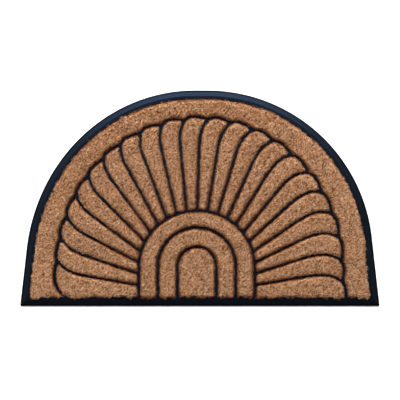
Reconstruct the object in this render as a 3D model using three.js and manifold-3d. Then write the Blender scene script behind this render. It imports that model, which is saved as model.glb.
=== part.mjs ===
// Half-round door mat: a moulded rubber tray with coir pile standing in its wells.
// Millimetres. The mat lies flat: X runs along the straight edge, Y from the straight edge to the crown,
// Z up. The origin is the middle of the underside.

import * as THREE from 'three';
import { mergeVertices } from 'three/addons/utils/BufferGeometryUtils.js';
import Module from 'manifold-3d';

const wasm = await Module();
wasm.setup();

// Overall size
const MAT_WIDTH = 762;
const MAT_DEPTH = 457.2;
const BASE_Y = -MAT_DEPTH / 2;
const CROWN_Y = MAT_DEPTH / 2;

// Each side is a quarter ellipse that runs into a straight leg. The two sides differ a little.
// crownX: where the ellipse is highest. shoulderY: its centre. splay: how far the leg leans out per mm down.
const LEFT_SIDE = { sign: -1, crownX: -11.1, shoulderY: -153.1, splay: 0.113 };
const RIGHT_SIDE = { sign: 1, crownX: 16, shoulderY: -121.6, splay: 0.111 };
const CORNER_CUT = 2.5;
const CORNER_TRIM = 0.3;

// Heights
const FLOOR_Z = 3;
const LIP_Z = 2.6;
const RUBBER_Z = 8.5;
const COIR_Z = 14;

// Rubber rim, from the outside in
const LIP_CHAMFER = 0.8;
const LIP_WIDTH = 2.2;
const BEVEL_WIDTH = 10.4;
const LEDGE_WIDTH = 6.1;
const RIM_WIDTH = LIP_WIDTH + BEVEL_WIDTH + LEDGE_WIDTH;

// Rubber ribs and the coir beside them
const RIB_WIDTH = 5;
const FIT_GAP = 0.3;
const PILE_ROUND = 3;
const PILE_ROUND_HEIGHT = 3.4;
const RAY_CORNER = 3.5;
const BORDER_CORNER = 3;
const ARCH_CORNER = 3.5;

// Centre lines of the three arch ribs: half width and height of the round top
const ARCH_X = -6.3;
const ARCH_Y = -144.8;
const ARCH_RIBS = [
  { halfWidth: 41, height: 42.2, steps: 20 },
  { halfWidth: 82.4, height: 82.8, steps: 28 },
  { halfWidth: 122.5, height: 119, steps: 32 },
];

// The line that the tips of the rays reach
const REACH_X = -0.3;
const REACH_Y = -150.8;
const REACH_HALF_WIDTH = 303.1;
const REACH_HEIGHT = 321.9;

// Rays. A place on them is (turn, out): turn counts rays from the left foot, clockwise, and out runs
// from 0 on the third arch to 1 on the line of the tips.
const RAY_COUNT = 22;
const RAY_DRIFT = { most: 0.2, mostAt: 4.5, backAfter: 14 };
const SHARPEST_AT = 7;
const SHOULDER_TURN = { least: 0.45, perRay: 0.041 };
const SHOULDER_OUT = { least: 0.23, perRay: 0.0165 };
const TIP_OUT = 1.01;
const CAP_SAG = 0.055;
const CAP_OVERRUN = 0.7;
const ROOT_OUT = -0.06;
const SHOULDER_STEPS = 6;
const CAP_STEPS = 4;
const FIRST_RIB = { turn: -0.12, shoulderTurn: 0.95, shoulderOut: 0.3, tipOut: 1.02, capSag: 0.055 };
const LAST_RIB = { turn: 20.85, shoulderTurn: 0.9, shoulderOut: 0.4, tipOut: 1.035, capSag: 0 };

const OUTLINE_STEPS = 40;
const CORNER_STEPS = 3;
const PILE_STEPS = 2;
const OVERRUN = 12;
const CLEAR = 9;

const RUBBER = { color: 0x1b2129, roughness: 0.55, metalness: 0 };
const COIR = { color: 0x9e7454, roughness: 0.95, metalness: 0 };

// Lines are arrays of THREE.Vector2.

// Moves a line sideways, to the left of its direction for a positive distance.
function shifted(line, distance) {
  return line.map((point, i) => {
    const before = line[Math.max(i - 1, 0)];
    const after = line[Math.min(i + 1, line.length - 1)];
    const into = point.clone().sub(before).normalize();
    const outOf = after.clone().sub(point).normalize();
    const along = into.clone().add(outOf).normalize();
    const bend = Math.max(along.dot(into), along.dot(outOf));
    const side = new THREE.Vector2(-along.y, along.x);
    return point.clone().addScaledVector(side, distance / bend);
  });
}

function lengths(line) {
  const sums = [0];
  for (let i = 1; i < line.length; i += 1) {
    sums.push(sums[i - 1] + line[i].distanceTo(line[i - 1]));
  }
  return sums;
}

// Where two straight pieces cross, as the share of each, or null.
function shares(a, b, c, d) {
  const ab = b.clone().sub(a);
  const cd = d.clone().sub(c);
  const ac = c.clone().sub(a);
  const turn = ab.cross(cd);
  const first = ac.cross(cd) / turn;
  const second = ac.cross(ab) / turn;
  const both = first >= 0 && first <= 1 && second >= 0 && second <= 1;
  return both ? { first, second } : null;
}

// Where the end of one line crosses the start of another: the point and how far along each line it lies.
function crossing(one, two) {
  const alongOne = lengths(one);
  const alongTwo = lengths(two);
  for (let i = one.length - 1; i > 0; i -= 1) {
    for (let j = 1; j < two.length; j += 1) {
      const hit = shares(one[i - 1], one[i], two[j - 1], two[j]);
      if (hit) {
        return {
          point: one[i - 1].clone().lerp(one[i], hit.first),
          onOne: THREE.MathUtils.lerp(alongOne[i - 1], alongOne[i], hit.first),
          onTwo: THREE.MathUtils.lerp(alongTwo[j - 1], alongTwo[j], hit.second),
        };
      }
    }
  }
  throw new Error('two sides of an outline do not cross');
}

function pointAlong(line, distance) {
  const along = lengths(line);
  const i = Math.max(1, along.findIndex((sum) => sum >= distance));
  const share = (distance - along[i - 1]) / (along[i] - along[i - 1]);
  return line[i - 1].clone().lerp(line[i], share);
}

// Where each side starts and ends: its crossings with its neighbours, cut back for the rounded corners.
function runsOf(sides, corner) {
  const meets = sides.map((side, i) => crossing(side, sides[(i + 1) % sides.length]));
  return sides.map((side, i) => {
    const before = meets[(i + sides.length - 1) % sides.length];
    return { side, from: before.onTwo + corner, to: meets[i].onOne - corner, meet: meets[i].point };
  });
}

// A closed outline with rounded corners, from a function that gives its sides at a distance inwards.
// The points that it keeps are chosen once, so its rings at all distances match point for point.
class Outline {
  constructor(sidesAt, corner) {
    this.sidesAt = sidesAt;
    this.corner = corner;
    this.kept = runsOf(sidesAt(0), corner).map(({ side, from, to }) => {
      const along = lengths(side);
      return side.map((_, i) => i).filter((i) => along[i] > from + CLEAR && along[i] < to - CLEAR);
    });
  }

  ring(inwards) {
    const runs = runsOf(this.sidesAt(inwards), this.corner);
    return runs.flatMap(({ side, from, to, meet }, i) => {
      const next = runs[(i + 1) % runs.length];
      const end = pointAlong(side, to);
      const bend = new THREE.QuadraticBezierCurve(end, meet, pointAlong(next.side, next.from));
      const rounding = bend.getPoints(CORNER_STEPS).slice(1, -1);
      return [pointAlong(side, from), ...this.kept[i].map((k) => side[k]), end, ...rounding];
    });
  }
}

function reversed(line) {
  return [...line].reverse();
}

// An arch: up the left leg, over the round top and down the right leg.
function archPath(x, y, halfWidth, height, footY) {
  return new THREE.Path()
    .moveTo(x - halfWidth, footY)
    .lineTo(x - halfWidth, y)
    .absellipse(x, y, halfWidth, height, Math.PI, 0, true)
    .lineTo(x + halfWidth, footY);
}

function archLine({ halfWidth, height, steps }, sideways) {
  const top = new THREE.EllipseCurve(ARCH_X, ARCH_Y, halfWidth, height, Math.PI, 0, true);
  const footY = wellFootY(0) - OVERRUN;
  const line = [
    new THREE.Vector2(ARCH_X - halfWidth, footY),
    ...top.getPoints(steps),
    new THREE.Vector2(ARCH_X + halfWidth, footY),
  ];
  return shifted(line, sideways);
}

// The mat's edge on one side, moved in by inset, from its foot to the crown.
function sideLine(side, inset, footY) {
  const fullHeight = CROWN_Y - side.shoulderY;
  const lean = side.splay * (side.shoulderY - BASE_Y);
  const reach = MAT_WIDTH / 2 + CORNER_TRIM - side.sign * side.crownX - lean;
  const fullWidth = Math.sqrt(reach ** 2 - (side.splay * fullHeight) ** 2);
  const width = fullWidth - inset;
  const height = fullHeight - inset;
  const legTurn = Math.atan((side.splay * height) / width);
  const legReach = Math.hypot(width, side.splay * height);
  const footX = side.crownX + side.sign * (legReach + side.splay * (side.shoulderY - footY));
  const points = [new THREE.Vector2(footX, footY)];
  for (let i = 0; i <= OUTLINE_STEPS; i += 1) {
    const turn = THREE.MathUtils.lerp(legTurn, Math.PI / 2, i / OUTLINE_STEPS);
    const x = side.crownX + side.sign * width * Math.cos(turn);
    points.push(new THREE.Vector2(x, side.shoulderY + height * Math.sin(turn)));
  }
  return points;
}

// The mat's edge moved in by inset, from the left foot over the crown to the right foot.
function edgeLine(inset, footY) {
  return [...sideLine(LEFT_SIDE, inset, footY), ...reversed(sideLine(RIGHT_SIDE, inset, footY))];
}

function wellFootY(gap) {
  return BASE_Y + RIM_WIDTH + gap;
}

// A stretch of the straight front side of the wells, drawn from right to left.
function frontLine(fromX, toX, gap) {
  const y = wellFootY(gap);
  return [new THREE.Vector2(fromX, y), new THREE.Vector2(toX, y)];
}

const rayRoots = archPath(
  ARCH_X,
  ARCH_Y,
  ARCH_RIBS[2].halfWidth,
  ARCH_RIBS[2].height,
  wellFootY(0),
);
const rayReach = archPath(REACH_X, REACH_Y, REACH_HALF_WIDTH, REACH_HEIGHT, wellFootY(0));
const ROOT_PITCH = rayRoots.getLength() / RAY_COUNT;
const REACH_PITCH = rayReach.getLength() / RAY_COUNT;

// The point at a place on the rays. Past the first and last ray, it runs on below the straight feet.
function onRays(turn, out) {
  const within = THREE.MathUtils.clamp(turn, 0, RAY_COUNT);
  const share = within / RAY_COUNT;
  const point = rayRoots.getPoint(share).lerp(rayReach.getPoint(share), out);
  point.y -= Math.abs(turn - within) * THREE.MathUtils.lerp(ROOT_PITCH, REACH_PITCH, out);
  return point;
}

// How the rib to the left of ray number k runs: straight out, round a shoulder, and on as the ray's cap.
function ribForm(k) {
  if (k === 0) {
    return FIRST_RIB;
  }
  if (k === RAY_COUNT - 1) {
    return LAST_RIB;
  }
  const rounder = Math.abs(k - SHARPEST_AT);
  const swing = (Math.PI * (k - RAY_DRIFT.mostAt)) / RAY_DRIFT.backAfter;
  return {
    turn: k + RAY_DRIFT.most * Math.cos(swing),
    shoulderTurn: SHOULDER_TURN.least + SHOULDER_TURN.perRay * rounder,
    shoulderOut: SHOULDER_OUT.least + SHOULDER_OUT.perRay * rounder,
    tipOut: TIP_OUT,
    capSag: CAP_SAG,
  };
}

// Centre line of the rib to the left of ray number k, from its root to just past the next rib.
function ribLine(k) {
  const form = ribForm(k);
  const shoulderFoot = form.tipOut - form.shoulderOut;
  const capTurn = k + 1 + CAP_OVERRUN - form.turn - form.shoulderTurn;
  const line = [onRays(form.turn, ROOT_OUT)];
  for (let i = 0; i <= SHOULDER_STEPS; i += 1) {
    const angle = (Math.PI / 2) * (i / SHOULDER_STEPS);
    const turn = form.turn + form.shoulderTurn * (1 - Math.cos(angle));
    line.push(onRays(turn, shoulderFoot + form.shoulderOut * Math.sin(angle)));
  }
  for (let i = 1; i <= CAP_STEPS; i += 1) {
    const past = (capTurn * i) / CAP_STEPS;
    line.push(onRays(form.turn + form.shoulderTurn + past, form.tipOut - form.capSag * past ** 2));
  }
  return line;
}

const ribLines = Array.from({ length: RAY_COUNT }, (_, k) => ribLine(k));

// The wells in the rubber. At 0 each outline is the well's own wall, and coir stands inside it.

function rayOutline(k) {
  const sidesAt = (inwards) => {
    const away = RIB_WIDTH / 2 + inwards;
    const sides = [shifted(ribLines[k], -away)];
    if (k === RAY_COUNT - 1) {
      sides.push(frontLine(REACH_X + REACH_HALF_WIDTH + OVERRUN, ARCH_X, inwards));
    } else {
      sides.push(reversed(shifted(ribLines[k + 1], away)));
    }
    sides.push(reversed(archLine(ARCH_RIBS[2], away)));
    if (k === 0) {
      sides.push(frontLine(ARCH_X, REACH_X - REACH_HALF_WIDTH, inwards));
    }
    return sides;
  };
  return new Outline(sidesAt, RAY_CORNER);
}

function borderOutline() {
  const sidesAt = (inwards) => {
    const away = RIB_WIDTH / 2 + inwards;
    const tips = reversed(ribLines).map((line) => reversed(shifted(line.slice(1), away)));
    return [
      edgeLine(RIM_WIDTH + inwards, BASE_Y),
      frontLine(MAT_WIDTH / 2, REACH_X + REACH_HALF_WIDTH - OVERRUN, inwards),
      ...tips,
      frontLine(REACH_X - REACH_HALF_WIDTH + 4 * OVERRUN, -MAT_WIDTH / 2, inwards),
    ];
  };
  return new Outline(sidesAt, BORDER_CORNER);
}

// The well between two arch ribs.
function archOutline(outer, inner) {
  const sidesAt = (inwards) => {
    const away = RIB_WIDTH / 2 + inwards;
    return [
      archLine(outer, -away),
      frontLine(ARCH_X + outer.halfWidth, ARCH_X + inner.halfWidth, inwards),
      reversed(archLine(inner, away)),
      frontLine(ARCH_X - inner.halfWidth, ARCH_X - outer.halfWidth, inwards),
    ];
  };
  return new Outline(sidesAt, ARCH_CORNER);
}

function coreOutline() {
  const arch = ARCH_RIBS[0];
  const sidesAt = (inwards) => [
    archLine(arch, -RIB_WIDTH / 2 - inwards),
    frontLine(ARCH_X + arch.halfWidth, ARCH_X - arch.halfWidth, inwards),
  ];
  return new Outline(sidesAt, ARCH_CORNER);
}

const WELLS = [
  { name: 'coir_border', outline: borderOutline() },
  ...ribLines.map((_, k) => ({
    name: `coir_ray_${String(k + 1).padStart(2, '0')}`,
    outline: rayOutline(k),
  })),
  { name: 'coir_outer_arch', outline: archOutline(ARCH_RIBS[2], ARCH_RIBS[1]) },
  { name: 'coir_middle_arch', outline: archOutline(ARCH_RIBS[1], ARCH_RIBS[0]) },
  { name: 'coir_core', outline: coreOutline() },
];

function solidOf(geometry) {
  geometry.deleteAttribute('normal');
  geometry.deleteAttribute('uv');
  const merged = mergeVertices(geometry);
  const mesh = new wasm.Mesh({
    numProp: 3,
    vertProperties: merged.attributes.position.array,
    triVerts: Uint32Array.from(merged.index.array),
  });
  return new wasm.Manifold(mesh);
}

// A closed body through rings of matching points, from the lowest up.
function loft(rings) {
  const count = rings[0].points.length;
  const positions = rings.flatMap(({ points, z }) => points.flatMap((point) => [point.x, point.y, z]));
  const topStart = count * (rings.length - 1);
  const clockwise = THREE.ShapeUtils.isClockWise(rings[0].points);
  const faces = [];
  const add = (a, b, c) => faces.push(...(clockwise ? [a, c, b] : [a, b, c]));
  for (let start = 0; start < topStart; start += count) {
    for (let i = 0; i < count; i += 1) {
      const next = (i + 1) % count;
      add(start + i, start + next, start + count + next);
      add(start + i, start + count + next, start + count + i);
    }
  }
  const cap = (points, start, flip) => {
    THREE.ShapeUtils.triangulateShape(points, []).forEach(([a, b, c]) => {
      faces.push(start + a, start + (flip ? c : b), start + (flip ? b : c));
    });
  };
  cap(rings[0].points, 0, true);
  cap(rings.at(-1).points, topStart, false);
  const geometry = new THREE.BufferGeometry();
  geometry.setAttribute('position', new THREE.Float32BufferAttribute(positions, 3));
  geometry.setIndex(faces);
  return solidOf(geometry);
}

// The mat's whole edge moved in by inset, with its two front corners barely rounded.
const matOutline = new Outline((inwards) => {
  const y = BASE_Y + inwards;
  const front = [new THREE.Vector2(MAT_WIDTH, y), new THREE.Vector2(-MAT_WIDTH, y)];
  return [edgeLine(inwards, BASE_Y - OVERRUN), front];
}, CORNER_CUT);

// The base sheet, rim, ledge and ribs in one piece.
function rubberTray() {
  const block = loft([
    { points: matOutline.ring(0), z: 0 },
    { points: matOutline.ring(0), z: LIP_Z - LIP_CHAMFER },
    { points: matOutline.ring(LIP_CHAMFER), z: LIP_Z },
    { points: matOutline.ring(LIP_WIDTH), z: LIP_Z },
    { points: matOutline.ring(LIP_WIDTH + BEVEL_WIDTH), z: RUBBER_Z },
  ]);
  const wells = WELLS.map(({ outline }) => {
    const options = { depth: COIR_Z, bevelEnabled: false };
    const geometry = new THREE.ExtrudeGeometry(new THREE.Shape(outline.ring(0)), options);
    return solidOf(geometry.translate(0, 0, FLOOR_Z));
  });
  return wells.reduce((tray, well) => tray.subtract(well), block);
}

// A pad of upright pile: straight sides, and a top edge worn round.
function coirPad(outline) {
  const rings = [{ points: outline.ring(FIT_GAP), z: FLOOR_Z + FIT_GAP }];
  for (let i = 0; i <= PILE_STEPS; i += 1) {
    const angle = (Math.PI / 2) * (i / PILE_STEPS);
    rings.push({
      points: outline.ring(FIT_GAP + PILE_ROUND * (1 - Math.cos(angle))),
      z: COIR_Z - PILE_ROUND_HEIGHT * (1 - Math.sin(angle)),
    });
  }
  return loft(rings);
}

function meshOf(solid, name, finish) {
  const { vertProperties, triVerts } = solid.getMesh();
  const geometry = new THREE.BufferGeometry();
  geometry.setAttribute('position', new THREE.BufferAttribute(vertProperties, 3));
  geometry.setIndex(new THREE.BufferAttribute(triVerts, 1));
  geometry.computeVertexNormals();
  const mesh = new THREE.Mesh(geometry, new THREE.MeshStandardMaterial(finish));
  mesh.name = name;
  return mesh;
}

const group = new THREE.Group();
group.add(meshOf(rubberTray(), 'rubber_tray', RUBBER));
WELLS.forEach(({ name, outline }) => group.add(meshOf(coirPad(outline), name, COIR)));

export default group;
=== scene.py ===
"""Half-round outdoor mat: a moulded rubber tray whose wells hold upright coir pile.

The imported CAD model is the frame. Metres, X along the straight edge, Y to the crown, Z up.
"""

import logging
import math
from dataclasses import dataclass
from enum import Enum

import bmesh
import bpy
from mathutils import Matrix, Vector


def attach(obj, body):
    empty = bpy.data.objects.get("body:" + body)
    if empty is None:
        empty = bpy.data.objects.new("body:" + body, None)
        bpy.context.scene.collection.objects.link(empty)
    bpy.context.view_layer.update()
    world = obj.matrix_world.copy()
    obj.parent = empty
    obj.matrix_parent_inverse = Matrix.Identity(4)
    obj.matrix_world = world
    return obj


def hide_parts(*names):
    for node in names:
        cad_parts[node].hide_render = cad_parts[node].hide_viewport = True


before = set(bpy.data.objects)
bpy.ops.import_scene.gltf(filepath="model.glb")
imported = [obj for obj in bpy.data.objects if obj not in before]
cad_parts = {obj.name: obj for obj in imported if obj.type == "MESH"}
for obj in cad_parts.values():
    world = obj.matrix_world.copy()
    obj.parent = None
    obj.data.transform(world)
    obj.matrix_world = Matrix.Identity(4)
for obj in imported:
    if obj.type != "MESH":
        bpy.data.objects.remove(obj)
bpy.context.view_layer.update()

Tree = bpy.types.NodeTree
Socket = bpy.types.NodeSocket

MM = 0.001
# Corners of a CAD node's loose triangles are merged where they are this near.
WELD_MM = 0.01
# Nearly all of a noise's values lie between these.
NOISE_LOW = 0.3
NOISE_HIGH = 0.7
# Each pad has this many seeds for its random values.
PAD_SEEDS = 10
log = logging.getLogger("mat")


def linear(colour: str) -> tuple[float, float, float, float]:
    """Turns an sRGB hex colour to the linear values that a socket takes.

    Args:
        colour: The colour, such as "#9E7454".

    Returns:
        Red, green and blue from 0 to 1, and an alpha of 1.
    """
    shares = [int(colour[i : i + 2], 16) / 255 for i in (1, 3, 5)]
    # The two parts of the sRGB curve.
    red, green, blue = [c / 12.92 if c <= 0.04045 else ((c + 0.055) / 1.055) ** 2.4 for c in shares]
    return red, green, blue, 1.0


def add_node(
    tree: Tree, kind: str, inputs: dict[object, object] | None = None, **settings: object
) -> bpy.types.Node:
    """Adds a node with its settings, values and links.

    Args:
        tree: The node tree that gets the node.
        kind: The node's type name.
        inputs: For each input, by name or number, its value or the output that feeds it.
        settings: The node's own properties.

    Returns:
        The new node.
    """
    node = tree.nodes.new(kind)
    for name, value in settings.items():
        setattr(node, name, value)
    for name, value in (inputs or {}).items():
        if isinstance(value, Socket):
            tree.links.new(value, node.inputs[name])
        else:
            node.inputs[name].default_value = value
    return node


def set_ramp(node: bpy.types.Node, stops: tuple[tuple[float, str], ...]) -> Socket:
    """Gives a colour ramp its stops.

    Args:
        node: The ramp node.
        stops: Each stop's place from 0 to 1 and its sRGB colour.

    Returns:
        The ramp's colour output.
    """
    elements = node.color_ramp.elements
    while len(elements) < len(stops):
        elements.new(1.0)
    for element, (place, colour) in zip(elements, stops):
        element.position = place
        element.color = linear(colour)
    return node.outputs["Color"]


def new_material(name: str) -> tuple[bpy.types.Material, Tree, bpy.types.Node]:
    """Makes a material with an empty shader.

    Args:
        name: The material's name.

    Returns:
        The material, its node tree and its Principled BSDF.
    """
    material = bpy.data.materials.new(name)
    material.use_nodes = True
    return material, material.node_tree, material.node_tree.nodes["Principled BSDF"]


@dataclass(frozen=True)
class CoirFinish:
    """Natural coir: bristle fibre from coconut husk, cut level."""

    # Cut husk fibre is matt, straw to dark brown, and every fibre has its own tone.
    name: str = "natural coir bristle"
    # From the few dark husk fibres to the few pale, sun-bleached ones.
    tones: tuple[tuple[float, str], ...] = (
        (0.08, "#241308"),
        (0.24, "#7A4A28"),
        (0.42, "#CB966A"),
        (0.62, "#EDBD91"),
        (0.80, "#FDDDBC"),
        (0.94, "#FFEDD6"),
    )
    # From orange husk to grey-beige.
    hues: tuple[tuple[float, str], ...] = ((0.0, "#FFE3C4"), (0.5, "#FFFAF2"), (1.0, "#F1F5FB"))
    # At its edges the pile is painted browner and darker: painted shade of the groove, with some dust.
    edges: tuple[tuple[float, str], ...] = (
        (0.00, "#FFFFFF"),
        (0.30, "#F4EEE9"),
        (0.60, "#CDB3A0"),
        (1.00, "#85604A"),
    )
    # Each fibre is painted darker towards its root: painted shade within the pile.
    root_shade: float = 0.5
    blotch_mm: float = 26.0
    blotch_detail: float = 3.0
    blotch_shades: tuple[float, float] = (0.92, 1.05)
    roughness: float = 0.88
    ior: float = 1.5
    specular: float = 0.25

    def material(self) -> bpy.types.Material:
        """Builds the coir material.

        Returns:
            The material.
        """
        material, tree, shader = new_material(self.name)
        place = add_node(tree, "ShaderNodeTexCoord").outputs["Object"]
        tone, hue, along, near = (
            add_node(tree, "ShaderNodeAttribute", attribute_name=name).outputs["Fac"]
            for name in ("tone", "hue", "along", "edge")
        )
        fibre = set_ramp(add_node(tree, "ShaderNodeValToRGB", {"Fac": tone}), self.tones)
        tint = set_ramp(add_node(tree, "ShaderNodeValToRGB", {"Fac": hue}), self.hues)
        edge = set_ramp(add_node(tree, "ShaderNodeValToRGB", {"Fac": near}), self.edges)
        blotch = add_node(
            tree,
            "ShaderNodeTexNoise",
            {"Vector": place, "Scale": 1 / (self.blotch_mm * MM), "Detail": self.blotch_detail},
        ).outputs["Fac"]
        shade = add_node(
            tree,
            "ShaderNodeMapRange",
            {
                "Value": blotch,
                "From Min": NOISE_LOW,
                "From Max": NOISE_HIGH,
                "To Min": self.blotch_shades[0],
                "To Max": self.blotch_shades[1],
            },
        ).outputs["Result"]
        # Painted shade: darker towards each fibre's root.
        depth = add_node(
            tree, "ShaderNodeMapRange", {"Value": along, "To Min": self.root_shade, "To Max": 1.0}
        ).outputs["Result"]
        light = add_node(tree, "ShaderNodeMath", {0: shade, 1: depth}, operation="MULTIPLY").outputs["Value"]
        hued = add_node(tree, "ShaderNodeVectorMath", {0: fibre, 1: tint}, operation="MULTIPLY").outputs[0]
        edged = add_node(tree, "ShaderNodeVectorMath", {0: hued, 1: edge}, operation="MULTIPLY").outputs[0]
        colour = add_node(
            tree, "ShaderNodeVectorMath", {0: edged, "Scale": light}, operation="SCALE"
        ).outputs["Vector"]
        tree.links.new(colour, shader.inputs["Base Color"])
        shader.inputs["Roughness"].default_value = self.roughness
        shader.inputs["IOR"].default_value = self.ior
        shader.inputs["Specular IOR Level"].default_value = self.specular
        return material


@dataclass(frozen=True)
class RubberFinish:
    """Black rubber with a little navy in it, pressed in a satin mould."""

    # The mould gives it a soft, bluish sheen and a very fine orange peel.
    name: str = "moulded navy-black rubber"
    dark: str = "#030406"
    light: str = "#06080B"
    sheen_tint: str = "#88B4F0"
    patch_mm: float = 45.0
    patch_detail: float = 4.0
    patch_span: tuple[float, float] = (0.3, 0.75)
    # Real peel is under 1 mm across. It is drawn coarser, so that it still breaks up the sheen.
    peel_mm: float = 1.6
    peel_detail: float = 2.0
    peel_depth_mm: float = 0.04
    peel_strength: float = 0.5
    roughness: tuple[float, float] = (0.46, 0.64)
    specular: float = 0.165
    ior: float = 1.52
    # The thin lip at the mat's foot is matt and nearly black.
    lip_mm: float = 2.75
    lip_fade_mm: float = 0.4
    lip_colour: str = "#010102"
    lip_roughness: float = 0.95
    lip_specular: float = 0.01

    def material(self) -> bpy.types.Material:
        """Builds the rubber material.

        Returns:
            The material.
        """
        material, tree, shader = new_material(self.name)
        place = add_node(tree, "ShaderNodeTexCoord").outputs["Object"]
        patch, peel = (
            add_node(
                tree, "ShaderNodeTexNoise", {"Vector": place, "Scale": 1 / (size * MM), "Detail": detail}
            ).outputs["Fac"]
            for size, detail in ((self.patch_mm, self.patch_detail), (self.peel_mm, self.peel_detail))
        )
        bump = add_node(
            tree,
            "ShaderNodeBump",
            {"Height": peel, "Strength": self.peel_strength, "Distance": self.peel_depth_mm * MM},
        ).outputs["Normal"]
        lip = add_node(
            tree,
            "ShaderNodeMapRange",
            {
                "Value": add_node(tree, "ShaderNodeSeparateXYZ", {0: place}).outputs["Z"],
                "From Min": self.lip_mm * MM,
                "From Max": (self.lip_mm + self.lip_fade_mm) * MM,
                "To Min": 1.0,
                "To Max": 0.0,
            },
        ).outputs["Result"]
        satin = add_node(
            tree,
            "ShaderNodeMapRange",
            {"Value": patch, "To Min": self.roughness[0], "To Max": self.roughness[1]},
        ).outputs["Result"]
        stops = ((self.patch_span[0], self.dark), (self.patch_span[1], self.light))
        black = set_ramp(add_node(tree, "ShaderNodeValToRGB", {"Fac": patch}), stops)
        colour = add_node(
            tree, "ShaderNodeMix", {0: lip, 6: black, 7: linear(self.lip_colour)}, data_type="RGBA"
        ).outputs[2]
        rough = add_node(
            tree, "ShaderNodeMix", {0: lip, 2: satin, 3: self.lip_roughness}, data_type="FLOAT"
        ).outputs[0]
        gloss = add_node(
            tree, "ShaderNodeMix", {0: lip, 2: self.specular, 3: self.lip_specular}, data_type="FLOAT"
        ).outputs[0]
        tree.links.new(colour, shader.inputs["Base Color"])
        tree.links.new(rough, shader.inputs["Roughness"])
        tree.links.new(gloss, shader.inputs["Specular IOR Level"])
        tree.links.new(bump, shader.inputs["Normal"])
        shader.inputs["IOR"].default_value = self.ior
        shader.inputs["Specular Tint"].default_value = linear(self.sheen_tint)
        return material


@dataclass(frozen=True)
class FloorFinish:
    """A plain pale studio floor, matt."""

    name: str = "pale studio floor"
    light: str = "#F4F4F4"
    dark: str = "#F0F0F0"
    patches_per_m: float = 3.0
    roughness: float = 0.9

    def material(self) -> bpy.types.Material:
        """Builds the floor material.

        Returns:
            The material.
        """
        material, tree, shader = new_material(self.name)
        place = add_node(tree, "ShaderNodeTexCoord").outputs["Object"]
        patch = add_node(
            tree, "ShaderNodeTexNoise", {"Vector": place, "Scale": self.patches_per_m}
        ).outputs["Fac"]
        stops = ((NOISE_LOW, self.dark), (NOISE_HIGH, self.light))
        colour = set_ramp(add_node(tree, "ShaderNodeValToRGB", {"Fac": patch}), stops)
        tree.links.new(colour, shader.inputs["Base Color"])
        shader.inputs["Roughness"].default_value = self.roughness
        return material


class Slot(Enum):
    """The record's material slots."""

    RUBBER = "rubber"
    COIR = "coir"


class Zone(Enum):
    """The part of a pad, from left to right, that a piece of pile covers, in metres along X."""

    ALL = (-1.0, 1.0)
    LEFT = (-1.0, -0.17)
    MIDDLE = (-0.17, 0.17)
    RIGHT = (0.17, 1.0)


def node_copy(node: str, name: str) -> bpy.types.Object:
    """Copies a CAD node's mesh into a new object, with its loose triangles merged.

    Args:
        node: The CAD node.
        name: The new object's name.

    Returns:
        The new object.
    """
    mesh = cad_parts[node].data.copy()
    mesh.name = name
    mesh.materials.clear()
    form = bmesh.new()
    form.from_mesh(mesh)
    bmesh.ops.remove_doubles(form, verts=form.verts, dist=WELD_MM * MM)
    form.to_mesh(mesh)
    form.free()
    piece = bpy.data.objects.new(name, mesh)
    bpy.context.scene.collection.objects.link(piece)
    return piece


def bake_modifiers(piece: bpy.types.Object) -> None:
    """Turns an object's modifiers into its own mesh.

    Args:
        piece: The object, which is left with no modifiers.
    """
    depsgraph = bpy.context.evaluated_depsgraph_get()
    made = bpy.data.meshes.new_from_object(
        piece.evaluated_get(depsgraph), preserve_all_data_layers=True, depsgraph=depsgraph
    )
    old = piece.data
    piece.modifiers.clear()
    piece.data = made
    made.name = piece.name
    bpy.data.meshes.remove(old)


def finish_piece(
    piece: bpy.types.Object, material: bpy.types.Material, slot: Slot, *nodes: str
) -> bpy.types.Object:
    """Dresses a piece and ties it to the frame.

    Args:
        piece: The finished piece.
        material: Its material.
        slot: The record's slot for its finish. It is not used.
        nodes: The CAD nodes that it stands for.

    Returns:
        The piece.
    """
    piece.data.materials.clear()
    piece.data.materials.append(material)
    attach(piece, "root")
    if nodes:
        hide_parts(*nodes)
    log.info("%s: %d triangles", piece.name, sum(len(p.vertices) - 2 for p in piece.data.polygons))
    return piece


@dataclass
class RubberTray:
    """The rubber moulding: base sheet, bevelled rim, ledge and ribs."""

    material: bpy.types.Material
    node: str = "rubber_tray"
    top_mm: float = 8.5
    level_within_mm: float = 0.05
    merge_degrees: float = 0.5
    sharp_degrees: float = 60.0
    rib_round_mm: float = 0.9
    rib_round_steps: int = 2

    def well_edges(self, form: bmesh.types.BMesh) -> list[bmesh.types.BMEdge]:
        """Finds the edges along the top of the wells.

        Args:
            form: The tray.

        Returns:
            The edges where the flat top turns down into a well.
        """
        return [
            edge
            for edge in form.edges
            if all(abs(vert.co.z - self.top_mm * MM) < self.level_within_mm * MM for vert in edge.verts)
            and len(edge.link_faces) == 2
            and edge.calc_face_angle() > math.radians(self.sharp_degrees)
        ]

    def build(self) -> bpy.types.Object:
        """Makes the tray with the soft edges that a mould leaves.

        Returns:
            The finished piece.
        """
        piece = node_copy(self.node, "rubber_moulding")
        form = bmesh.new()
        form.from_mesh(piece.data)
        bmesh.ops.dissolve_limit(
            form, angle_limit=math.radians(self.merge_degrees), verts=form.verts, edges=form.edges
        )
        bmesh.ops.bevel(
            form,
            geom=self.well_edges(form),
            offset=self.rib_round_mm * MM,
            offset_type="OFFSET",
            segments=self.rib_round_steps,
            profile=0.5,
            affect="EDGES",
            clamp_overlap=True,
            material=-1,
        )
        form.to_mesh(piece.data)
        form.free()
        return finish_piece(piece, self.material, Slot.RUBBER, self.node)


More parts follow.
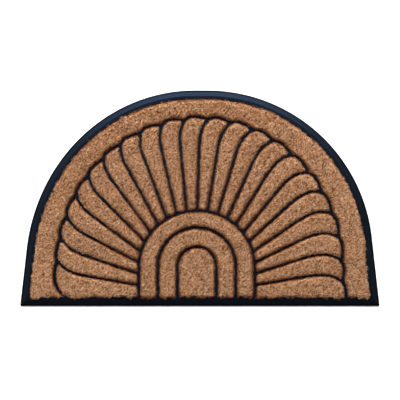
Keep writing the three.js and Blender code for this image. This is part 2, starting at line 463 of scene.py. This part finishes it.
@dataclass
class CoirPad:
    """A pad of coir pile: a dense block of bristle with separate fibres standing out of it."""

    node: str
    material: bpy.types.Material
    seed: int
    zones: tuple[Zone, ...] = (Zone.ALL,)
    # The middle of the sunburst, at the height of the pile.
    middle: tuple[float, float, float] = (0.0, -0.15, 0.014)
    # The block's mesh, how far it is sunk into the CAD pad, and its lumps.
    voxel_mm: float = 2.2
    smoothing: int = 7
    smoothing_share: float = 0.5
    under_facing: float = -0.99
    merge_degrees: float = 1.0
    sink_mm: float = 1.8
    lump_mm: float = 5.0
    lump_detail: float = 2.0
    lump_height_mm: float = 1.1
    # The pile rolls over at its walls.
    wall_facing: float = 0.35
    roll_mm: float = 7.0
    roll_drop_mm: float = 1.8
    roll_power: float = 2.0
    # An edge is brownest where it faces the mat's front, away from the light: painted shade. This is its
    # share where it faces the crown.
    least_brown: float = 0.78
    # Above the rubber the walls stand out unevenly.
    ragged_from_mm: tuple[float, float] = (8.6, 11.0)
    ragged_mm: float = 8.0
    ragged_detail: float = 4.0
    ragged_span: tuple[float, float] = (0.35, 0.65)
    ragged_out_mm: tuple[float, float] = (-0.3, 1.2)
    # Trodden from the front, the pile leans over the ribs on that side.
    overhang_mm: float = 1.0
    # Along the rim the pile parts into tufts, each further out or in than the next.
    front_mm: float = -200.0
    front_facing: float = -0.7
    front_tuft_mm: float = 11.0
    front_out_mm: tuple[float, float] = (-2.2, 5.4)
    tuft_own: float = 0.75
    # The fibres on those walls hang out over the ledge and are uneven in length.
    fringe_facing: tuple[float, float] = (0.9, 0.2)
    fringe_mm: float = 9.0
    fringe_span: tuple[float, float] = (0.38, 0.62)
    fringe_growth: tuple[float, float] = (0.7, 1.7)
    fringe_out: float = 1.0
    # Real coir is under 0.3 mm thick, too fine to show, so each spike is as coarse as a few fibres.
    fibres_per_mm2: float = 0.78
    fibre_sides: int = 3
    fibre_length_mm: float = 3.6
    fibre_radius_mm: float = 0.46
    fibre_sizes: tuple[tuple[float, float, float], ...] = ((0.75, 0.75, 0.7), (1.3, 1.3, 1.2))
    lowest_mm: float = 7.6
    upright: float = 0.8
    outwards: float = 0.85
    spread: tuple[float, float, float] = (0.95, 0.6, 0.25)
    # Fibres that were spun together share much of their tone and height.
    tuft_mm: float = 0.95
    tuft_share: float = 0.75
    tuft_heights: tuple[float, float] = (0.45, 1.35)
    # Between the fibres, the block has the colour that they have this far up, with their roots' painted
    # shade.
    block_along: float = 0.15

    def block(self) -> bpy.types.Object:
        """Makes the pad's dense body: the CAD pad with worn edges.

        Returns:
            The block.
        """
        piece = node_copy(self.node, f"{self.node}_pile")
        remesh = piece.modifiers.new("even mesh", "REMESH")
        remesh.mode = "VOXEL"
        remesh.voxel_size = self.voxel_mm * MM
        remesh.use_smooth_shade = True
        worn = piece.modifiers.new("worn edges", "SMOOTH")
        worn.factor = self.smoothing_share
        worn.iterations = self.smoothing
        bake_modifiers(piece)
        form = bmesh.new()
        form.from_mesh(piece.data)
        under = [face for face in form.faces if face.normal.z < self.under_facing]
        # A dict keeps the mesh's own order, and so gives the same block each run.
        bmesh.ops.dissolve_limit(
            form,
            angle_limit=math.radians(self.merge_degrees),
            verts=list(dict.fromkeys(vert for face in under for vert in face.verts)),
            edges=list(dict.fromkeys(edge for face in under for edge in face.edges)),
        )
        form.to_mesh(piece.data)
        form.free()
        return piece

    def walls(self, tree: Tree, block: Socket) -> tuple[Socket, Socket]:
        """Finds the pad's nearest wall from any point of it.

        Args:
            tree: The geometry tree.
            block: The block's geometry.

        Returns:
            How near the wall is, from 0 inside the pad to 1 at the wall, and the way that the wall faces.
        """
        normal = add_node(tree, "GeometryNodeInputNormal").outputs["Normal"]
        facing = add_node(tree, "ShaderNodeSeparateXYZ", {0: normal}).outputs["Z"]
        level = add_node(tree, "ShaderNodeMath", {0: facing}, operation="ABSOLUTE").outputs[0]
        steep = add_node(
            tree, "FunctionNodeCompare", {"A": level, "B": self.wall_facing}, operation="LESS_THAN"
        ).outputs[0]
        walls = add_node(
            tree, "GeometryNodeSeparateGeometry", {"Geometry": block, "Selection": steep}, domain="FACE"
        ).outputs["Selection"]
        distance = add_node(
            tree, "GeometryNodeProximity", {0: walls}, target_element="FACES"
        ).outputs["Distance"]
        near = add_node(
            tree,
            "ShaderNodeMapRange",
            {"Value": distance, "From Max": self.roll_mm * MM, "To Min": 1.0, "To Max": 0.0},
        ).outputs["Result"]
        way = add_node(
            tree,
            "GeometryNodeSampleNearestSurface",
            {"Mesh": walls, "Value": normal},
            data_type="FLOAT_VECTOR",
        ).outputs["Value"]
        return near, way

    def painted_edge_shade(self, tree: Tree, way: Socket) -> Socket:
        """Finds how brown an edge is with painted shade, which is most where it faces the mat's front, away
        from the light.

        Args:
            tree: The geometry tree.
            way: The way that the nearest wall faces.

        Returns:
            A share from 0 to 1.
        """
        facing = add_node(tree, "ShaderNodeSeparateXYZ", {0: way}).outputs["Y"]
        return add_node(
            tree,
            "ShaderNodeMapRange",
            {"Value": facing, "From Min": -1.0, "From Max": 1.0, "To Min": 1.0, "To Max": self.least_brown},
        ).outputs["Result"]

    def at_rim(self, tree: Tree, way: Socket) -> Socket:
        """Finds the walls that stand beside the rim, which for most pads is their front wall."""
        return self.at_front(tree, way)

    def at_front(self, tree: Tree, way: Socket) -> Socket:
        """Finds the walls along the mat's straight edge.

        Args:
            tree: The geometry tree.
            way: The way that the nearest wall faces.

        Returns:
            Whether the nearest wall is such a wall.
        """
        place = add_node(tree, "GeometryNodeInputPosition").outputs[0]
        depth = add_node(tree, "ShaderNodeSeparateXYZ", {0: place}).outputs["Y"]
        facing = add_node(tree, "ShaderNodeSeparateXYZ", {0: way}).outputs["Y"]
        low = add_node(
            tree, "FunctionNodeCompare", {"A": depth, "B": self.front_mm * MM}, operation="LESS_THAN"
        ).outputs[0]
        front = add_node(
            tree, "FunctionNodeCompare", {"A": facing, "B": self.front_facing}, operation="LESS_THAN"
        ).outputs[0]
        return add_node(tree, "FunctionNodeBooleanMath", {0: low, 1: front}, operation="AND").outputs[0]

    def parted(self, tree: Tree, uneven: Socket, tuft_mm: float, out_mm: tuple[float, float]) -> Socket:
        """Parts an edge of the pile into tufts.

        Args:
            tree: The geometry tree.
            uneven: A fine noise, which the tufts add to.
            tuft_mm: The width of a tuft.
            out_mm: The least and most that a tuft stands out from the wall.

        Returns:
            How far the pile stands out at a point.
        """
        place = add_node(tree, "GeometryNodeInputPosition").outputs[0]
        cell = add_node(tree, "ShaderNodeTexVoronoi", {"Vector": place, "Scale": 1 / (tuft_mm * MM)})
        own = add_node(tree, "ShaderNodeSeparateXYZ", {0: cell.outputs["Color"]}).outputs[0]
        fine = add_node(
            tree, "ShaderNodeMapRange", {"Value": uneven, "From Min": NOISE_LOW, "From Max": NOISE_HIGH}
        ).outputs["Result"]
        both = add_node(
            tree, "ShaderNodeMix", {0: self.tuft_own, 2: fine, 3: own}, data_type="FLOAT"
        ).outputs[0]
        return add_node(
            tree, "ShaderNodeMapRange", {"Value": both, "To Min": out_mm[0] * MM, "To Max": out_mm[1] * MM}
        ).outputs["Result"]

    def beside(self, tree: Tree, uneven: Socket, way: Socket) -> Socket:
        """Finds how far the pile stands out beside a rib.

        Args:
            tree: The geometry tree.
            uneven: A fine noise.
            way: The way that the nearest wall faces.

        Returns:
            How far the pile stands out at a point.
        """
        out = add_node(
            tree,
            "ShaderNodeMapRange",
            {
                "Value": uneven,
                "From Min": self.ragged_span[0],
                "From Max": self.ragged_span[1],
                "To Min": self.ragged_out_mm[0] * MM,
                "To Max": self.ragged_out_mm[1] * MM,
            },
        ).outputs["Result"]
        facing = add_node(tree, "ShaderNodeSeparateXYZ", {0: way}).outputs["Y"]
        lean = add_node(
            tree,
            "ShaderNodeMapRange",
            {
                "Value": facing,
                "From Min": -1.0,
                "From Max": 0.0,
                "To Min": self.overhang_mm * MM,
                "To Max": 0.0,
            },
        ).outputs["Result"]
        return add_node(tree, "ShaderNodeMath", {0: out, 1: lean}, operation="ADD").outputs[0]

    def stand_out(self, tree: Tree, way: Socket) -> Socket:
        """Finds how far the pile stands out from its walls.

        Args:
            tree: The geometry tree.
            way: The way that the nearest wall faces.

        Returns:
            How far it does at a point: in tufts at the mat's front, and a little elsewhere.
        """
        place = add_node(tree, "GeometryNodeInputPosition").outputs[0]
        uneven = add_node(
            tree,
            "ShaderNodeTexNoise",
            {"Vector": place, "Scale": 1 / (self.ragged_mm * MM), "Detail": self.ragged_detail},
        ).outputs[0]
        beside = self.beside(tree, uneven, way)
        before = self.parted(tree, uneven, self.front_tuft_mm, self.front_out_mm)
        return add_node(
            tree,
            "GeometryNodeSwitch",
            {0: self.at_front(tree, way), 1: beside, 2: before},
            input_type="FLOAT",
        ).outputs[0]

    def surface(self, tree: Tree, block: Socket) -> Socket:
        """Sinks the block under the fibres, rolls its edges and makes it lumpy and ragged.

        Args:
            tree: The geometry tree.
            block: The block's geometry.

        Returns:
            The uneven block, which carries the painted shade that browns its edges and where fibres hang over
            the ledge.
        """
        place = add_node(tree, "GeometryNodeInputPosition").outputs[0]
        normal = add_node(tree, "GeometryNodeInputNormal").outputs["Normal"]
        near, way = self.walls(tree, block)
        lump = add_node(
            tree,
            "ShaderNodeTexNoise",
            {"Vector": place, "Scale": 1 / (self.lump_mm * MM), "Detail": self.lump_detail},
        ).outputs[0]
        rise = add_node(
            tree,
            "ShaderNodeMapRange",
            {
                "Value": lump,
                "From Min": NOISE_LOW,
                "From Max": NOISE_HIGH,
                "To Min": -(self.sink_mm + self.lump_height_mm / 2) * MM,
                "To Max": -(self.sink_mm - self.lump_height_mm / 2) * MM,
            },
        ).outputs["Result"]
        step = add_node(
            tree, "ShaderNodeVectorMath", {0: normal, "Scale": rise}, operation="SCALE"
        ).outputs[0]
        height = add_node(tree, "ShaderNodeSeparateXYZ", {0: place}).outputs["Z"]
        low, full = self.ragged_from_mm
        high = add_node(
            tree, "ShaderNodeMapRange", {"Value": height, "From Min": low * MM, "From Max": full * MM}
        ).outputs["Result"]
        share = add_node(tree, "ShaderNodeMath", {0: near, 1: high}, operation="MULTIPLY").outputs[0]
        out = self.stand_out(tree, way)
        push = add_node(tree, "ShaderNodeMath", {0: share, 1: out}, operation="MULTIPLY").outputs[0]
        pushed = add_node(tree, "ShaderNodeVectorMath", {0: way, "Scale": push}, operation="SCALE").outputs[0]
        step = add_node(tree, "ShaderNodeVectorMath", {0: step, 1: pushed}, operation="ADD").outputs[0]
        curve = add_node(tree, "ShaderNodeMath", {0: near, 1: self.roll_power}, operation="POWER").outputs[0]
        roll = add_node(
            tree, "ShaderNodeMath", {0: curve, 1: -self.roll_drop_mm * MM}, operation="MULTIPLY"
        ).outputs[0]
        drop = add_node(tree, "ShaderNodeMath", {0: roll, 1: high}, operation="MULTIPLY").outputs[0]
        down = add_node(tree, "ShaderNodeCombineXYZ", {2: drop}).outputs[0]
        step = add_node(tree, "ShaderNodeVectorMath", {0: step, 1: down}, operation="ADD").outputs[0]
        # Near the walls the pile is painted browner and darker: painted shade.
        brown = self.painted_edge_shade(tree, way)
        edge = add_node(tree, "ShaderNodeMath", {0: near, 1: brown}, operation="MULTIPLY").outputs[0]
        facing = add_node(tree, "ShaderNodeSeparateXYZ", {0: normal}).outputs["Z"]
        top, side = self.fringe_facing
        aside = add_node(
            tree, "ShaderNodeMapRange", {"Value": facing, "From Min": top, "From Max": side}
        ).outputs["Result"]
        fringe = add_node(
            tree, "GeometryNodeSwitch", {0: self.at_rim(tree, way), 1: 0.0, 2: aside}, input_type="FLOAT"
        ).outputs[0]
        block = self.marked(tree, block, "POINT", {"edge": edge, "fringe": fringe})
        return add_node(
            tree, "GeometryNodeSetPosition", {"Geometry": block, "Offset": step}
        ).outputs["Geometry"]

    def fibre(self, tree: Tree) -> Socket:
        """Makes one fibre: a spike that knows how far along it each point lies.

        Args:
            tree: The geometry tree.

        Returns:
            The fibre's geometry.
        """
        spike = add_node(
            tree,
            "GeometryNodeMeshCone",
            {
                "Vertices": self.fibre_sides,
                "Radius Bottom": self.fibre_radius_mm * MM,
                "Radius Top": 0.0,
                "Depth": self.fibre_length_mm * MM,
            },
            fill_type="NGON",
        ).outputs["Mesh"]
        place = add_node(tree, "GeometryNodeInputPosition").outputs[0]
        height = add_node(tree, "ShaderNodeSeparateXYZ", {0: place}).outputs["Z"]
        along = add_node(
            tree, "ShaderNodeMath", {0: height, 1: self.fibre_length_mm * MM}, operation="DIVIDE"
        ).outputs[0]
        return self.marked(tree, spike, "POINT", {"along": along})

    def sown(self, tree: Tree, block: Socket, zone: Zone) -> bpy.types.Node:
        """Sows the fibres' roots over the block's top and upper sides.

        Args:
            tree: The geometry tree.
            block: The block's geometry.
            zone: Where along X the fibres stand.

        Returns:
            The node that gives the roots' points and normals.
        """
        place = add_node(tree, "GeometryNodeInputPosition").outputs[0]
        x, _, z = add_node(tree, "ShaderNodeSeparateXYZ", {0: place}).outputs
        above = add_node(
            tree, "FunctionNodeCompare", {"A": z, "B": self.lowest_mm * MM}, operation="GREATER_THAN"
        ).outputs[0]
        right = add_node(
            tree, "FunctionNodeCompare", {"A": x, "B": zone.value[0]}, operation="GREATER_EQUAL"
        ).outputs[0]
        left = add_node(
            tree, "FunctionNodeCompare", {"A": x, "B": zone.value[1]}, operation="LESS_THAN"
        ).outputs[0]
        inside = add_node(tree, "FunctionNodeBooleanMath", {0: right, 1: left}, operation="AND").outputs[0]
        chosen = add_node(tree, "FunctionNodeBooleanMath", {0: above, 1: inside}, operation="AND").outputs[0]
        return add_node(
            tree,
            "GeometryNodeDistributePointsOnFaces",
            {"Mesh": block, "Selection": chosen, "Density": self.fibres_per_mm2 / MM**2, "Seed": self.seed},
        )

    def leaning(self, tree: Tree, normal: Socket, fringe: Socket) -> Socket:
        """Finds the way that each fibre points: up, outwards and a little astray.

        Args:
            tree: The geometry tree.
            normal: The block's normal at the fibre's root.
            fringe: How much the fibre hangs over the ledge.

        Returns:
            The way.
        """
        astray = add_node(
            tree,
            "FunctionNodeRandomValue",
            {0: tuple(-s for s in self.spread), 1: self.spread, "Seed": self.seed + 1},
            data_type="FLOAT_VECTOR",
        ).outputs[0]
        push = add_node(
            tree, "ShaderNodeMapRange", {"Value": fringe, "To Min": self.outwards, "To Max": self.fringe_out}
        ).outputs["Result"]
        out = add_node(tree, "ShaderNodeVectorMath", {0: normal, "Scale": push}, operation="SCALE").outputs[0]
        up = add_node(
            tree, "ShaderNodeVectorMath", {0: out, 1: (0.0, 0.0, self.upright)}, operation="ADD"
        ).outputs[0]
        return add_node(tree, "ShaderNodeVectorMath", {0: up, 1: astray}, operation="ADD").outputs[0]

    def sizes(self, tree: Tree, fringe: Socket) -> Socket:
        """Finds how large each fibre is: by its own chance, its tuft, and its place at the rim.

        Args:
            tree: The geometry tree.
            fringe: How much the fibre hangs over the ledge.

        Returns:
            Its scale across and along.
        """
        own = add_node(
            tree,
            "FunctionNodeRandomValue",
            {0: self.fibre_sizes[0], 1: self.fibre_sizes[1], "Seed": self.seed + 2},
            data_type="FLOAT_VECTOR",
        ).outputs[0]
        tall = add_node(
            tree,
            "ShaderNodeMapRange",
            {
                "Value": self.tuft_value(tree, 2),
                "To Min": self.tuft_heights[0],
                "To Max": self.tuft_heights[1],
            },
        ).outputs["Result"]
        place = add_node(tree, "GeometryNodeInputPosition").outputs[0]
        clump = add_node(
            tree, "ShaderNodeTexNoise", {"Vector": place, "Scale": 1 / (self.fringe_mm * MM)}
        ).outputs[0]
        growth = add_node(
            tree,
            "ShaderNodeMapRange",
            {
                "Value": clump,
                "From Min": self.fringe_span[0],
                "From Max": self.fringe_span[1],
                "To Min": self.fringe_growth[0],
                "To Max": self.fringe_growth[1],
            },
        ).outputs["Result"]
        grown = add_node(tree, "ShaderNodeMix", {0: fringe, 2: 1.0, 3: growth}, data_type="FLOAT").outputs[0]
        length = add_node(tree, "ShaderNodeMath", {0: tall, 1: grown}, operation="MULTIPLY").outputs[0]
        longer = add_node(tree, "ShaderNodeCombineXYZ", {0: 1.0, 1: 1.0, 2: length}).outputs[0]
        return add_node(tree, "ShaderNodeVectorMath", {0: own, 1: longer}, operation="MULTIPLY").outputs[0]

    def fibres(self, tree: Tree, block: Socket, zone: Zone) -> Socket:
        """Stands fibres all over the block's top and upper sides.

        Args:
            tree: The geometry tree.
            block: The block's geometry.
            zone: Where along X the fibres stand.

        Returns:
            The fibres, as one mesh.
        """
        roots = self.sown(tree, block, zone)
        fringe = add_node(
            tree, "GeometryNodeInputNamedAttribute", {"Name": "fringe"}, data_type="FLOAT"
        ).outputs["Attribute"]
        way = self.leaning(tree, roots.outputs["Normal"], fringe)
        stood = add_node(
            tree,
            "GeometryNodeInstanceOnPoints",
            {
                "Points": roots.outputs["Points"],
                "Instance": self.fibre(tree),
                "Rotation": add_node(
                    tree, "FunctionNodeAlignRotationToVector", {"Vector": way}, axis="Z"
                ).outputs[0],
                "Scale": self.sizes(tree, fringe),
            },
        ).outputs[0]
        toned = self.marked(tree, stood, "INSTANCE", self.tones(tree))
        return add_node(tree, "GeometryNodeRealizeInstances", {"Geometry": toned}).outputs["Geometry"]

    def tuft_value(self, tree: Tree, channel: int) -> Socket:
        """Makes a value from 0 to 1 that is partly each fibre's own and partly its tuft's.

        Args:
            tree: The geometry tree.
            channel: Which of the independent values it is.

        Returns:
            The value.
        """
        place = add_node(tree, "GeometryNodeInputPosition").outputs[0]
        cell = add_node(tree, "ShaderNodeTexVoronoi", {"Vector": place, "Scale": 1 / (self.tuft_mm * MM)})
        tuft = add_node(tree, "ShaderNodeSeparateXYZ", {0: cell.outputs["Color"]}).outputs[channel]
        own = add_node(
            tree,
            "FunctionNodeRandomValue",
            {2: 0.0, 3: 1.0, "Seed": self.seed + 3 + channel},
            data_type="FLOAT",
        ).outputs[1]
        return add_node(
            tree, "ShaderNodeMix", {0: self.tuft_share, 2: own, 3: tuft}, data_type="FLOAT"
        ).outputs[0]

    def tones(self, tree: Tree) -> dict[str, Socket]:
        """Gives each fibre, or each point of the block, the tone and hue of its tuft."""
        return {"tone": self.tuft_value(tree, 0), "hue": self.tuft_value(tree, 1)}

    def marked(self, tree: Tree, shape: Socket, domain: str, values: dict[str, object]) -> Socket:
        """Stores values that the fibres and the coir's colours follow.

        Args:
            tree: The geometry tree.
            shape: The geometry that gets them.
            domain: The domain that they are stored on.
            values: Each value's name, and the value or the output that gives it.

        Returns:
            The geometry with its values.
        """
        for name, value in values.items():
            shape = add_node(
                tree,
                "GeometryNodeStoreNamedAttribute",
                {"Geometry": shape, "Name": name, "Value": value},
                data_type="FLOAT",
                domain=domain,
            ).outputs["Geometry"]
        return shape

    def grow(self, piece: bpy.types.Object, zone: Zone, with_block: bool) -> None:
        """Grows the fibres on a copy of the block.

        Args:
            piece: The object that holds the block.
            zone: Where along X the fibres stand.
            with_block: Whether the piece keeps the block as well as the fibres.
        """
        tree = bpy.data.node_groups.new(f"{piece.name} fibres", "GeometryNodeTree")
        tree.interface.new_socket("Geometry", in_out="INPUT", socket_type="NodeSocketGeometry")
        tree.interface.new_socket("Geometry", in_out="OUTPUT", socket_type="NodeSocketGeometry")
        block = self.surface(tree, add_node(tree, "NodeGroupInput").outputs[0])
        shown = self.fibres(tree, block, zone)
        if with_block:
            join = add_node(tree, "GeometryNodeJoinGeometry")
            tree.links.new(shown, join.inputs[0])
            values = {**self.tones(tree), "along": self.block_along}
            tree.links.new(self.marked(tree, block, "POINT", values), join.inputs[0])
            shown = join.outputs[0]
        add_node(tree, "NodeGroupOutput", {0: shown})
        piece.modifiers.new("fibres", "NODES").node_group = tree
        bake_modifiers(piece)
        bpy.data.node_groups.remove(tree)

    def build(self) -> list[bpy.types.Object]:
        """Makes the pad's pieces: one, or one for each zone of a large pad.

        Returns:
            The finished pieces.
        """
        block = self.block()
        pieces = [block]
        for zone in self.zones[1:]:
            piece = bpy.data.objects.new(f"{block.name}_{zone.name.lower()}", block.data.copy())
            bpy.context.scene.collection.objects.link(piece)
            pieces.append(piece)
        for i, (piece, zone) in enumerate(zip(pieces, self.zones)):
            self.grow(piece, zone, with_block=i == 0)
            finish_piece(piece, self.material, Slot.COIR, *([self.node] if i == 0 else []))
        return pieces


@dataclass
class RayPad(CoirPad):
    """A ray of the sunburst. Away from the arches, its edges have less painted shade and stand further in."""

    ragged_out_mm: tuple[float, float] = (0.1, 1.6)
    overhang_mm: float = 2.2
    # The outer half of a ray, measured from the middle of the sunburst.
    far_from_mm: tuple[float, float] = (160.0, 230.0)
    # Away from the arches, this share of the edges' painted shade is left.
    far_brown: float = 0.55
    far_in_mm: float = 1.1

    def far(self, tree: Tree) -> Socket:
        """Finds how far out along the ray a point is.

        Args:
            tree: The geometry tree.

        Returns:
            A share from 0 near the arches to 1 in the ray's outer half.
        """
        place = add_node(tree, "GeometryNodeInputPosition").outputs[0]
        away = add_node(
            tree, "ShaderNodeVectorMath", {0: place, 1: self.middle}, operation="DISTANCE"
        ).outputs["Value"]
        near, far = self.far_from_mm
        return add_node(
            tree, "ShaderNodeMapRange", {"Value": away, "From Min": near * MM, "From Max": far * MM}
        ).outputs["Result"]

    def painted_edge_shade(self, tree: Tree, way: Socket) -> Socket:
        """Finds how brown an edge is with painted shade, which is less away from the arches.

        Args:
            tree: The geometry tree.
            way: The way that the nearest wall faces.

        Returns:
            A share from 0 to 1.
        """
        brown = super().painted_edge_shade(tree, way)
        shade_left = add_node(
            tree, "ShaderNodeMapRange", {"Value": self.far(tree), "To Min": 1.0, "To Max": self.far_brown}
        ).outputs["Result"]
        return add_node(tree, "ShaderNodeMath", {0: brown, 1: shade_left}, operation="MULTIPLY").outputs[0]

    def beside(self, tree: Tree, uneven: Socket, way: Socket) -> Socket:
        """Finds how far the pile stands out beside a rib, which is less away from the arches.

        Args:
            tree: The geometry tree.
            uneven: A fine noise.
            way: The way that the nearest wall faces.

        Returns:
            How far the pile stands out at a point.
        """
        return add_node(
            tree,
            "ShaderNodeMath",
            {0: self.far(tree), 1: -self.far_in_mm * MM, 2: super().beside(tree, uneven, way)},
            operation="MULTIPLY_ADD",
        ).outputs[0]


@dataclass
class BorderPad(CoirPad):
    """The border, in three pieces: its bristle is combed outwards and stands in tufts over the curved rim."""

    zones: tuple[Zone, ...] = (Zone.MIDDLE, Zone.LEFT, Zone.RIGHT)
    overhang_mm: float = 2.3
    comb: float = 0.4
    outer_tuft_mm: float = 15.0
    outer_out_mm: tuple[float, float] = (-8.6, 3.2)
    # How much painted shade browns the outer edge where it faces sideways, and where it faces the crown.
    outer_brown: tuple[float, float] = (0.15, 0.55)

    def away(self, tree: Tree) -> Socket:
        """Finds the way from the middle of the sunburst to a point."""
        place = add_node(tree, "GeometryNodeInputPosition").outputs[0]
        return add_node(
            tree, "ShaderNodeVectorMath", {0: place, 1: self.middle}, operation="SUBTRACT"
        ).outputs[0]

    def at_outer(self, tree: Tree, way: Socket) -> Socket:
        """Finds the outer wall, which faces away from the middle of the sunburst.

        Args:
            tree: The geometry tree.
            way: The way that the nearest wall faces.

        Returns:
            Whether the nearest wall is the outer wall.
        """
        along = add_node(
            tree, "ShaderNodeVectorMath", {0: self.away(tree), 1: way}, operation="DOT_PRODUCT"
        ).outputs["Value"]
        return add_node(
            tree, "FunctionNodeCompare", {"A": along, "B": 0.0}, operation="GREATER_THAN"
        ).outputs[0]

    def at_rim(self, tree: Tree, way: Socket) -> Socket:
        """Finds the walls that stand beside the rim: the front wall and the outer wall."""
        front, outer = super().at_rim(tree, way), self.at_outer(tree, way)
        return add_node(tree, "FunctionNodeBooleanMath", {0: front, 1: outer}, operation="OR").outputs[0]

    def painted_edge_shade(self, tree: Tree, way: Socket) -> Socket:
        """Finds how much painted shade browns an edge, which is less at the outer wall.

        Args:
            tree: The geometry tree.
            way: The way that the nearest wall faces.

        Returns:
            A share from 0 to 1.
        """
        facing = add_node(tree, "ShaderNodeSeparateXYZ", {0: way}).outputs["Y"]
        across = add_node(tree, "ShaderNodeMath", {0: facing}, operation="ABSOLUTE").outputs[0]
        outer = add_node(
            tree,
            "ShaderNodeMapRange",
            {"Value": across, "To Min": self.outer_brown[0], "To Max": self.outer_brown[1]},
        ).outputs["Result"]
        return add_node(
            tree,
            "GeometryNodeSwitch",
            {0: self.at_outer(tree, way), 1: super().painted_edge_shade(tree, way), 2: outer},
            input_type="FLOAT",
        ).outputs[0]

    def beside(self, tree: Tree, uneven: Socket, way: Socket) -> Socket:
        """Finds how far the pile stands out: in tufts at the outer wall, a little beside the scalloped rib.

        Args:
            tree: The geometry tree.
            uneven: A fine noise.
            way: The way that the nearest wall faces.

        Returns:
            How far the pile stands out at a point.
        """
        inner = super().beside(tree, uneven, way)
        outer = self.parted(tree, uneven, self.outer_tuft_mm, self.outer_out_mm)
        return add_node(
            tree, "GeometryNodeSwitch", {0: self.at_outer(tree, way), 1: inner, 2: outer}, input_type="FLOAT"
        ).outputs[0]

    def leaning(self, tree: Tree, normal: Socket, fringe: Socket) -> Socket:
        """Finds the way that each fibre points: as in every pad, and combed outwards.

        Args:
            tree: The geometry tree.
            normal: The block's normal at the fibre's root.
            fringe: How much the fibre hangs over the ledge.

        Returns:
            The way.
        """
        way = super().leaning(tree, normal, fringe)
        away = add_node(tree, "ShaderNodeVectorMath", {0: self.away(tree)}, operation="NORMALIZE").outputs[0]
        pull = add_node(
            tree, "ShaderNodeVectorMath", {0: away, "Scale": self.comb}, operation="SCALE"
        ).outputs[0]
        return add_node(tree, "ShaderNodeVectorMath", {0: way, 1: pull}, operation="ADD").outputs[0]


@dataclass
class Studio:
    """The pale floor, the soft light from behind the crown, and the camera straight above."""

    view_centre_mm: tuple[float, float] = (0.3, -4.1)
    view_width_mm: float = 849.6
    lens_mm: float = 85.0
    sensor_mm: float = 36.0
    floor_radius: float = 40.0
    floor_sides: int = 64
    floor_gap_mm: float = 0.05
    # Each light's azimuth and elevation in degrees, clockwise from the crown, and its distance in metres.
    box_place: tuple[float, float, float] = (0.0, 37.0, 3.0)
    box_size: tuple[float, float] = (3.0, 1.4)
    box_watts: float = 344.0
    fill_place: tuple[float, float, float] = (-70.0, 42.0, 3.0)
    fill_degrees: float = 50.0
    fill_strength: float = 0.84
    room_colour: str = "#E8EEF8"
    room_strength: float = 0.11

    def floor(self) -> None:
        """Makes the floor, a plain sheet under the mat."""
        form = bmesh.new()
        bmesh.ops.create_circle(form, cap_ends=True, segments=self.floor_sides, radius=self.floor_radius)
        bmesh.ops.translate(form, vec=(0, 0, -self.floor_gap_mm * MM), verts=form.verts)
        mesh = bpy.data.meshes.new("floor")
        form.to_mesh(mesh)
        form.free()
        floor = bpy.data.objects.new("floor", mesh)
        mesh.materials.append(FloorFinish().material())
        bpy.context.scene.collection.objects.link(floor)

    def hang(self, light: bpy.types.Light, azimuth: float, elevation: float, distance: float) -> None:
        """Hangs a light so that it points at the mat.

        Args:
            light: The light.
            azimuth: Where it hangs, in degrees clockwise from the crown.
            elevation: Its height above the floor, in degrees.
            distance: How far off it hangs, in metres.
        """
        lamp = bpy.data.objects.new(light.name, light)
        a, e = math.radians(azimuth), math.radians(elevation)
        towards = Vector((math.sin(a) * math.cos(e), math.cos(a) * math.cos(e), math.sin(e)))
        lamp.rotation_euler = towards.to_track_quat("Z", "Y").to_euler()
        lamp.location = towards * distance
        bpy.context.scene.collection.objects.link(lamp)

    def lights(self) -> None:
        """Hangs a soft box beyond the crown and a weak, wide light to its left."""
        box = bpy.data.lights.new("soft box", "AREA")
        box.shape = "RECTANGLE"
        box.size, box.size_y = self.box_size
        box.energy = self.box_watts
        self.hang(box, *self.box_place)
        fill = bpy.data.lights.new("fill", "SUN")
        fill.energy = self.fill_strength
        fill.angle = math.radians(self.fill_degrees)
        self.hang(fill, *self.fill_place)

    def room(self) -> None:
        """Sets the plain surroundings."""
        world = bpy.data.worlds.new("studio")
        world.use_nodes = True
        background = world.node_tree.nodes["Background"]
        background.inputs["Color"].default_value = linear(self.room_colour)
        background.inputs["Strength"].default_value = self.room_strength
        bpy.context.scene.world = world

    def camera(self) -> None:
        """Hangs the camera over the mat, at the distance that gives the photograph's frame."""
        lens = bpy.data.cameras.new("camera")
        lens.lens = self.lens_mm
        lens.sensor_width = self.sensor_mm
        camera = bpy.data.objects.new("camera", lens)
        x, y = self.view_centre_mm
        camera.location = (x * MM, y * MM, self.view_width_mm * MM * self.lens_mm / self.sensor_mm)
        bpy.context.scene.collection.objects.link(camera)
        bpy.context.scene.camera = camera

    def build(self) -> None:
        """Sets up the floor, lights and camera."""
        self.floor()
        self.lights()
        self.room()
        self.camera()
        bpy.context.scene.view_settings.view_transform = "Standard"


def main() -> None:
    """Builds the mat and the studio."""
    logging.basicConfig(level=logging.INFO, format="%(message)s")
    Studio().build()
    rubber = RubberTray(RubberFinish().material()).build()
    coir = CoirFinish().material()
    nodes = sorted(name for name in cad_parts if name.startswith("coir_"))
    pile: list[bpy.types.Object] = []
    for i, node in enumerate(nodes):
        kind = CoirPad
        if node == "coir_border":
            kind = BorderPad
        elif "_ray_" in node:
            kind = RayPad
        pile += kind(node, coir, seed=PAD_SEEDS * i).build()


if __name__ == "__main__":
    main()
